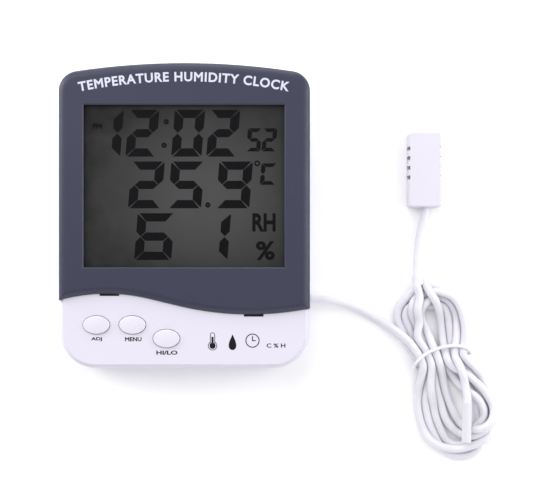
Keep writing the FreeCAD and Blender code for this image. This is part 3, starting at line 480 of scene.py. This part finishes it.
class Strands:
    """Leads that fall, stack on each other and bend, held at some points."""

    def __init__(self):
        self.points, self.radius, self.free, self.chain = [], [], [], []

    def add(self, points, radius, held):
        """Adds a chain and returns the range of its points. held is a list of fixed points."""
        first = sum(len(p) for p in self.points)
        free = np.ones(len(points))
        free[list(held)] = 0
        self.points.append(np.asarray(points, float))
        self.radius.append(np.full(len(points), radius))
        self.free.append(free)
        self.chain.append((first, first + len(points)))
        return slice(first, first + len(points))

    def gather(self):
        """Puts all chains into one array, with what may touch and which points are linked."""
        self.p = np.concatenate(self.points)
        self.r = np.concatenate(self.radius)
        self.w = np.concatenate(self.free)
        size = len(self.p)
        owner = np.zeros(size, int)
        for number, (a, b) in enumerate(self.chain):
            owner[a:b] = number
        index = np.arange(size)
        near = np.abs(index[:, None] - index[None]) <= NEIGHBOURS
        same = owner[:, None] == owner[None]
        both_held = (self.w[:, None] + self.w[None]) == 0
        self.reach = self.r[:, None] + self.r[None]
        self.skip = (near & same) | both_held
        links = [np.arange(a, b - 1) for a, b in self.chain]
        self.links = np.concatenate(links)
        gaps = self.p[self.links + 1] - self.p[self.links]
        self.rest = np.linalg.norm(gaps, axis=1)
        self.laid = self.p.copy()

    def keep_lengths(self, sweeps=3):
        """Brings linked points back to the distance that they started with."""
        for _ in range(sweeps):
            for parity in (0, 1):
                chosen = self.links % 2 == parity
                i, rest = self.links[chosen], self.rest[chosen]
                gap = self.p[i + 1] - self.p[i]
                long = np.maximum(np.linalg.norm(gap, axis=1), 1e-9)
                total = np.maximum(self.w[i] + self.w[i + 1], 1e-9)
                move = gap * ((long - rest) / long / total)[:, None]
                self.p[i] += move * self.w[i][:, None]
                self.p[i + 1] -= move * self.w[i + 1][:, None]

    def bend(self, amount):
        """Lets each chain straighten as an elastic lead does."""
        for a, b in self.chain:
            q = self.p[a:b]
            if len(q) < 6:
                continue
            second = q[:-2] - 2 * q[1:-1] + q[2:]
            fourth = second[:-2] - 2 * second[1:-1] + second[2:]
            self.p[a + 2 : b - 2] -= amount * fourth * self.w[a + 2 : b - 2, None]

    def part(self, amount=0.5):
        """Pushes strands that overlap apart."""
        gap = self.p[:, None] - self.p[None]
        far = np.sqrt((gap**2).sum(2)) + 1e-9
        deep = np.where(self.skip, 0, np.maximum(self.reach - far, 0))
        share = self.w[:, None] / np.maximum(self.w[:, None] + self.w[None], 1)
        push = (gap / far[:, :, None]) * (deep * share)[:, :, None]
        self.p += amount * push.sum(1) * self.w[:, None]

    def settle(self, steps, fall, stiffness, grip):
        """Runs the strands for some steps. The grip is what keeps them from sliding sideways."""
        for _ in range(steps):
            self.p[:, 2] -= fall * self.w
            self.bend(stiffness)
            self.p[:, :2] += grip * (self.laid - self.p)[:, :2] * self.w[:, None]
            self.keep_lengths()
            self.part()
            self.p[:, 2] = np.maximum(self.p[:, 2], np.where(self.w > 0, self.r, self.p[:, 2]))


def settled_leads():
    """The main lead's and the branch's points through the hank, in the hank's frame."""
    radius = LEAD_DIAMETER / 2 * STRAND_MARGIN
    into = world_to_hank(LEAD_TO_HANK[-1:])
    slot_u, slot_z = MAIN_LOOPS[0]["start"]
    main_slot = [[slot_u, 0, slot_z]]
    over = [[MAIN_END[0], 0, MAIN_END[1]], *TO_HUMIDITY_PROBE, *world_to_hank(LEAD_TO_PROBE[1:2])]
    main, main_held = lead_chain(
        MAIN_LOOPS, MAIN_END, np.concatenate([into, main_slot]), rounded(over))
    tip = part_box("temperature_probe_lead_end")
    middle = (tip[0] + tip[1]) / 2 / MM
    high, low = tip[1].y / MM, tip[0].y / MM
    probe_end = world_to_hank([
        (middle.x + 0.1, high + 3, middle.z),
        (middle.x, high, middle.z),
        (middle.x, low, middle.z),
    ])
    slot_u, slot_z = BRANCH_LOOPS[0]["start"]
    leaving = [[BRANCH_END[0], 0, BRANCH_END[1]], BRANCH_LEAVES_TIE, *probe_end]
    branch, branch_held = lead_chain(
        BRANCH_LOOPS, BRANCH_END, rounded([*FROM_SLEEVE, [slot_u, 0, slot_z]]), rounded(leaving))

    strands = Strands()
    size = len(main)
    main_part = strands.add(main, radius, main_held + [0, 1, size - 3, size - 2, size - 1])
    size = len(branch)
    branch_part = strands.add(branch, radius, branch_held + [0, 1, size - 3, size - 2, size - 1])
    incoming = evenly(rounded(world_to_hank(LEAD_TO_HANK)), STRAND_STEP)[:-1]
    strands.add(incoming, radius, range(len(incoming)))
    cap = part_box("temperature_probe_cap")
    cap_x, cap_z = (cap[0].x + cap[1].x) / 2 / MM, (cap[0].z + cap[1].z) / 2 / MM
    down_the_cap = np.arange(cap[1].y / MM - 2, cap[0].y / MM, -STRAND_STEP)
    probe = [(cap_x, y, cap_z) for y in down_the_cap]
    strands.add(world_to_hank(probe), PROBE_CAP_RADIUS, range(len(probe)))
    strands.gather()
    strands.settle(**FALLING)
    strands.settle(**EASING)
    return strands.p[main_part], strands.p[branch_part]


def round_line(name, points, radius_mm, order, fineness, closed=False):
    """A round lead or wire along one smooth NURBS spline, from its control points."""
    data = bpy.data.curves.new(name, "CURVE")
    data.dimensions = "3D"
    spline = data.splines.new("NURBS")
    spline.points.add(len(points) - 1)
    for point, place in zip(spline.points, points):
        point.co = (*(Vector(place) * MM), 1.0)
    spline.order_u = order
    spline.use_endpoint_u = not closed
    spline.use_cyclic_u = closed
    spline.resolution_u = fineness
    data.bevel_depth = radius_mm * MM
    data.bevel_resolution = fineness
    data.use_fill_caps = not closed
    made = bpy.data.objects.new(name, data)
    bpy.context.scene.collection.objects.link(made)
    return made


def add_leads():
    """Both leads, the tie round the hank, and the sleeve where the leads part."""
    main_hank, branch = settled_leads()
    radius = LEAD_DIAMETER / 2
    route = [*LEAD_TO_HANK[:-1], *hank_to_world(main_hank), *LEAD_TO_PROBE[2:]]
    main = round_line("main_lead", route, radius, order=3, fineness=6)
    riding(main, FINISHES["lead_sheath"])
    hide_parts("lead_to_hank", "lead_hank", "lead_to_probe")
    second_route = hank_to_world(branch)
    second = round_line("temperature_lead", second_route, radius, order=3, fineness=6)
    riding(second, FINISHES["lead_sheath"])
    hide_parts("temperature_probe_lead_end")
    add_tie(main_hank, branch)
    add_sleeve(second_route)


def oval_tube(name, path, radii, sides=24):
    """A closed tube along points in millimetres, with its own width and thickness at each point."""
    path = [Vector(point) for point in path]
    count = len(path)
    vertices, faces = [], []
    up = Vector((0.3, 0.2, 1)).normalized()
    for i, point in enumerate(path):
        ahead = path[min(i + 1, count - 1)]
        behind = path[max(i - 1, 0)]
        along = (ahead - behind).normalized()
        across = along.cross(up).normalized()
        up = across.cross(along).normalized()
        wide, thick = radii[i]
        for k in range(sides):
            turn = 2 * math.pi * k / sides
            vertices.append(point + across * wide * math.cos(turn) + up * thick * math.sin(turn))
    for i in range(count - 1):
        for k in range(sides):
            j, m = i + 1, (k + 1) % sides
            faces.append([i * sides + k, i * sides + m, j * sides + m, j * sides + k])
    faces.append(list(range(sides)))
    faces.append([(count - 1) * sides + k for k in reversed(range(sides))])
    return mesh_object(name, vertices, faces, smooth=True)


def add_tie(main_hank, branch):
    """A plastic-covered wire around the strands, which bows along the hank over the top of them."""
    strands = np.concatenate([main_hank, branch])
    reach = LEAD_DIAMETER / 2 + TIE_RADIUS
    close = strands[np.abs(strands[:, 1]) < 9]
    rest, rise = TIE_REST
    top = []
    for turn in np.linspace(math.pi, 0, 31):
        u = TIE_EDGE * math.cos(turn)
        v = TIE_ARCH * math.sin(turn)
        away = np.hypot(close[:, 0] - u, close[:, 1] - v)
        near = away < reach
        lying = close[near, 2] + np.sqrt(reach**2 - away[near] ** 2)
        top.append([u, v, max(lying.max(initial=TIE_RADIUS), rest + rise * math.sin(turn))])
    top = np.array(top)
    for _ in range(4):  # the wire spans the dips between strands
        top[1:-1, 2] = np.maximum(top[1:-1, 2], (top[:-2, 2] + top[2:, 2]) / 2)
    top[0, 2] = top[-1, 2] = TIE_SHOULDER
    under = [[TIE_EDGE - 0.6, 0, 1.6], [TIE_EDGE - 2.2, 0, TIE_RADIUS + 0.05]]
    under += [[-u, v, z] for u, v, z in reversed(under)]
    loop = hank_to_world(np.concatenate([top, under]))
    made = round_line("tie", loop, TIE_RADIUS, order=4, fineness=4, closed=True)
    riding(made, FINISHES["tie_plastic"])
    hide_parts("cord_tie")


def add_sleeve(branch):
    """The moulded sleeve where the two leads part, oval at the end with both of them."""
    low, high = Vector(SLEEVE[0]), Vector(SLEEVE[1])
    beside = (Vector(branch[1]) - low) / 2
    path, radii = [], []
    for i in range(SLEEVE_STEPS + 1):
        share = 1 - i / SLEEVE_STEPS
        path.append(low.lerp(high, i / SLEEVE_STEPS) + beside * share**1.5 * 0.9)
        rim = 1.0 - 0.2 * max(0, 1 - min(share, 1 - share) / 0.08)
        wide = SLEEVE_RADIUS + SLEEVE_FLARE * share**1.5
        thick = SLEEVE_RADIUS + 0.1 * share
        radii.append((wide * rim, thick * rim))
    made = oval_tube("lead_sleeve", path, radii)
    riding(made, FINISHES["lead_sheath"])
    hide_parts("lead_splitter")


# ---- The display's segments ----------------------------------------------------------------------
# Each digit's strokes, from the upper one round to the middle one, as a seven-segment display has.
LIT = {
    "0": "abcdef", "1": "bc", "2": "abged", "5": "afgcd", "6": "afgecd", "9": "abcdfg", "C": "afed",
}
DIGIT_HEIGHT = 19.9
LEAN = 0.081  # how far a digit leans over, for its height
BIG_STROKES = (3.5, 3.9)  # thickness of the level strokes, and of the upright ones
SMALL_STROKES = (1.55, 1.85)


def segment_shapes(width, height, level, upright):
    """The outline of each segment of one upright digit, from its lower left corner.

    The segments stand apart by small gaps, and their outer corners are clipped."""
    gap = 0.045 * level + 0.03
    clip = 0.16 * level
    half = upright / 2
    middle = height / 2
    top = [
        (clip + gap, height),
        (width - clip - gap, height),
        (width - upright + gap / 2, height - level),
        (upright - gap / 2, height - level),
    ]
    across = [
        (half + gap, middle),
        (upright + gap, middle + level / 2),
        (width - upright - gap, middle + level / 2),
        (width - half - gap, middle),
        (width - upright - gap, middle - level / 2),
        (upright + gap, middle - level / 2),
    ]
    side = [
        (0, height - clip - gap),
        (clip / 2, height - clip / 2 - gap),
        (upright, height - level - gap * 1.5),
        (upright, middle + half + gap),
        (half, middle + gap),
        (0, middle + half + gap),
    ]
    return {
        "a": top,
        "b": [(width - x, y) for x, y in side],
        "c": [(width - x, height - y) for x, y in side],
        "d": [(x, height - y) for x, y in top],
        "e": [(x, height - y) for x, y in side],
        "f": side,
        "g": across,
    }


def area_of(outline):
    """The area inside an outline, which is negative when it runs clockwise."""
    sides = zip(outline, outline[1:] + outline[:1])
    return sum(x0 * y1 - x1 * y0 for (x0, y0), (x1, y1) in sides) / 2


def plate(outline, level):
    """A thin flat plate with this outline, standing on a face at this height."""
    if area_of(outline) < 0:
        outline = outline[::-1]
    count = len(outline)
    vertices = [(x, y, level + PRINT_THICKNESS) for x, y in outline]
    vertices += [(x, y, level) for x, y in outline]
    faces = [list(range(count)), [count + i for i in reversed(range(count))]]
    faces += [[i, count + i, count + (i + 1) % count, (i + 1) % count] for i in range(count)]
    return vertices, faces


def bar(left, low, right, high, level):
    """A thin flat plate with straight sides."""
    return plate([(left, low), (right, low), (right, high), (left, high)], level)


def digit(symbol, left, low, width, height, strokes, level):
    """The lit segments of one digit, leaning to the right."""
    shapes = segment_shapes(width, height, *strokes)
    return [
        plate([(left + x + LEAN * y, low + y) for x, y in shapes[name]], level) for name in LIT[symbol]
    ]


def disc(x, y, radius, level, sides=28):
    """A thin round plate."""
    turns = [2 * math.pi * k / sides for k in range(sides)]
    outline = [(x + radius * math.cos(turn), y + radius * math.sin(turn)) for turn in turns]
    return plate(outline, level)


def ring(x, y, outer, inner, level, start=0.0, end=360.0, sides=40):
    """Part of a flat ring, as separate blocks side by side."""
    blocks = []
    step = math.radians(end - start) / sides
    for k in range(sides):
        first = math.radians(start) + k * step
        second = first + step
        blocks.append(plate([
            (x + outer * math.cos(first), y + outer * math.sin(first)),
            (x + outer * math.cos(second), y + outer * math.sin(second)),
            (x + inner * math.cos(second), y + inner * math.sin(second)),
            (x + inner * math.cos(first), y + inner * math.sin(first)),
        ], level))
    return blocks


def lettering(body, centre, size, level, bold=0.0, bow=None, spacing=1.0):
    """Capitals in the built-in type, fitted to a size, as a plate's vertices and faces.

    With bow, the line is bent into an arch of that radius."""
    data = bpy.data.curves.new("letters", "FONT")
    data.body = body
    data.bevel_depth = bold
    data.bevel_resolution = 0
    data.extrude = 0.01
    data.space_character = spacing
    data.resolution_u = 4
    made = bpy.data.objects.new("letters", data)
    bpy.context.scene.collection.objects.link(made)
    bpy.context.view_layer.update()
    mesh = bpy.data.meshes.new_from_object(made)
    points = np.array([vertex.co[:] for vertex in mesh.vertices])
    faces = [list(polygon.vertices) for polygon in mesh.polygons]
    bpy.data.objects.remove(made)
    low, high = points.min(0), points.max(0)
    flat = (points[:, :2] - (low + high)[:2] / 2) / (high - low)[:2] * size
    z = np.where(points[:, 2] > 0, level + PRINT_THICKNESS, level)
    if bow:
        turn = flat[:, 0] / bow
        away = bow + flat[:, 1]
        flat = np.stack([away * np.sin(turn), away * np.cos(turn) - bow], axis=1)
    x, y = flat[:, 0] + centre[0], flat[:, 1] + centre[1]
    return np.stack([x, y, z], axis=1).tolist(), faces


def add_display():
    """The reading: a time, a temperature and a humidity."""
    top = DISPLAY_TOP
    # Each row: its digits, as (symbol, left edge, width), and its lower edge.
    rows = (
        ((("1", -40.2, 12.9), ("2", -25.1, 12.9), ("0", -5.6, 12.9), ("2", 9.3, 12.9)), 25.1),
        ((("2", -24.0, 14.1), ("5", -7.1, 14.2), ("9", 13.3, 14.3)), 3.1),
        ((("6", -21.4, 15.8), ("1", 5.4, 12.9)), -18.9),
    )
    parts = []
    for digits, low in rows:
        for symbol, left, width in digits:
            parts += digit(symbol, left, low, width, DIGIT_HEIGHT, BIG_STROKES, top)
    small = (
        ("5", 26.3, 27.3, 6.0, 9.8),
        ("2", 32.8, 27.3, 6.0, 9.8),
        ("C", 32.1, 13.1, 6.6, 9.1),
    )
    for symbol, left, low, width, height in small:
        parts += digit(symbol, left, low, width, height, SMALL_STROKES, top)
    for x, y in ((-7.7, 39.9), (-8.6, 29.9), (10.0, 4.5)):  # the colon and the decimal point
        parts += ring(x, y, 1.12, 0.25, top)
    parts += ring(31.0, 22.2, 1.25, 0.6, top)  # the degree sign
    parts.append(lettering("PM", (-37.0, 38.0), (4.1, 2.1), top, 0.07))
    parts.append(lettering("RH", (33.9, -2.9), (9.9, 7.8), top, 0.035))
    parts.append(lettering("%", (34.5, -14.9), (8.1, 8.1), top, 0.03))
    riding(joined_mesh("display_segments", parts), SEGMENT_INK)


# ---- Printing ------------------------------------------------------------------------------------
BUTTON_WORDS = (  # the word, its middle and its width
    ("ADJ", (-37.3, -52.6), 4.6),
    ("MENU", (-21.7, -52.6), 7.0),
    ("HI/LO", (-7.4, -58.3), 9.0),
)
BUTTON_WORD_HEIGHT = 1.75
ARCH_RADIUS = 232.0
ARCHED_LINE = "TEMPERATURE HUMIDITY CLOCK"


def add_printing():
    """Plain words over the display and under the buttons, and three small signs."""
    words = lettering(
        ARCHED_LINE, (0, 58.8), (90.0, 4.1), BEZEL_TOP, bold=0.028, bow=ARCH_RADIUS, spacing=1.12)
    riding(joined_mesh("arched_words", [words]), WHITE_INK)
    black = []
    for word, place, width in BUTTON_WORDS:
        black.append(lettering(word, place, (width, BUTTON_WORD_HEIGHT), LOWER_FACE, 0.03))
    black += thermometer_sign(12.0, -53.2) + drop_sign(20.5, -53.2) + clock_sign(29.0, -53.2)
    black.append(lettering("C % H", (39.0, -55.3), (8.0, 1.8), LOWER_FACE, 0.02))
    riding(joined_mesh("black_words_and_signs", black), BLACK_INK)


def thermometer_sign(x, y):
    """A bulb with an open tube above it."""
    parts = [disc(x, y - 2.2, 1.3, LOWER_FACE)]
    parts.append(bar(x - 0.45, y - 1.2, x + 0.45, y + 1.6, LOWER_FACE))
    for edge in (-1, 1):
        wall = x + edge * 0.95
        parts.append(bar(wall - 0.14, y - 1.2, wall + 0.14, y + 2.4, LOWER_FACE))
    parts += ring(x, y + 2.4, 1.09, 0.81, LOWER_FACE, 0, 180, 12)
    parts += ring(x, y - 2.2, 1.95, 1.67, LOWER_FACE, 122, 418, 28)
    return parts


def drop_sign(x, y):
    """A drop, pointed at the top."""
    outline = []
    sides = 40
    for k in range(sides):
        turn = 2 * math.pi * k / sides
        narrow = math.sin(turn / 2) ** 1.5
        outline.append((x + 2.3 * math.sin(turn) * narrow, y - 0.6 + 3.4 * math.cos(turn)))
    return [plate(outline, LOWER_FACE)]


def clock_sign(x, y):
    """A round face with two hands."""
    parts = ring(x, y, 3.0, 2.6, LOWER_FACE)
    parts.append(bar(x - 0.2, y - 0.2, x + 0.2, y + 1.9, LOWER_FACE))
    parts.append(bar(x, y - 0.2, x + 1.4, y + 0.2, LOWER_FACE))
    return parts


# ---- Stage ---------------------------------------------------------------------------------------
CAMERA_PLACE = (40.7, -15.5, 617.0)
CAMERA_LENS = 90.0
TABLE_HALF = 2500
LIGHTS = (  # name, place, size, power
    ("key", (-320, 480, 720), 900, 4.0),
    ("fill", (520, 60, 620), 700, 1.8),
    ("left_edge", (-650, 300, 190), 500, 3.8),
    ("right_edge", (800, 120, 190), 500, 2.8),
    ("front_edge", (60, -720, 230), 600, 1.2),
    ("back_edge", (60, 800, 190), 500, 2.2),
)
LIGHTS_AIM = (50, 0, 0)


def add_camera():
    """The camera looks straight down at the object."""
    data = bpy.data.cameras.new("camera")
    data.lens = CAMERA_LENS
    data.sensor_width = 36.0
    camera = bpy.data.objects.new("camera", data)
    camera.location = Vector(CAMERA_PLACE) * MM
    bpy.context.scene.collection.objects.link(camera)
    bpy.context.scene.camera = camera


def add_stage():
    """A plain white table."""
    half = TABLE_HALF
    corners = [(-half, -half, 0), (half, -half, 0), (half, half, 0), (-half, half, 0)]
    floor = mesh_object("table", corners, [[0, 1, 2, 3]])
    finish = Finish("table", (0.95, 0.95, 0.955, 1), 0.6)
    finish.vary_colour(finish.noise(40.0, 2.0), (0.94, 0.94, 0.945, 1))
    floor.data.materials.append(finish.material)


def add_light(name, place, size, power):
    """A round lamp that points at the object."""
    data = bpy.data.lights.new(name, "AREA")
    data.shape = "DISK"
    data.size = size * MM
    data.energy = power
    lamp = bpy.data.objects.new(name, data)
    lamp.location = Vector(place) * MM
    aim = Vector(LIGHTS_AIM) * MM - lamp.location
    lamp.rotation_mode = "QUATERNION"
    lamp.rotation_quaternion = aim.to_track_quat("-Z", "Y")
    bpy.context.scene.collection.objects.link(lamp)


def add_lights():
    """A pale sky, and the lamps."""
    world = bpy.data.worlds.new("studio")
    world.use_nodes = True
    background = world.node_tree.nodes["Background"]
    background.inputs["Color"].default_value = (0.97, 0.975, 1.0, 1)
    background.inputs["Strength"].default_value = 0.6
    bpy.context.scene.world = world
    for name, place, size, power in LIGHTS:
        add_light(name, place, size, power)
    bpy.context.scene.view_settings.view_transform = "Standard"


finish_cad_nodes()
add_camera()
add_stage()
add_lights()
add_leads()
add_display()
add_printing()
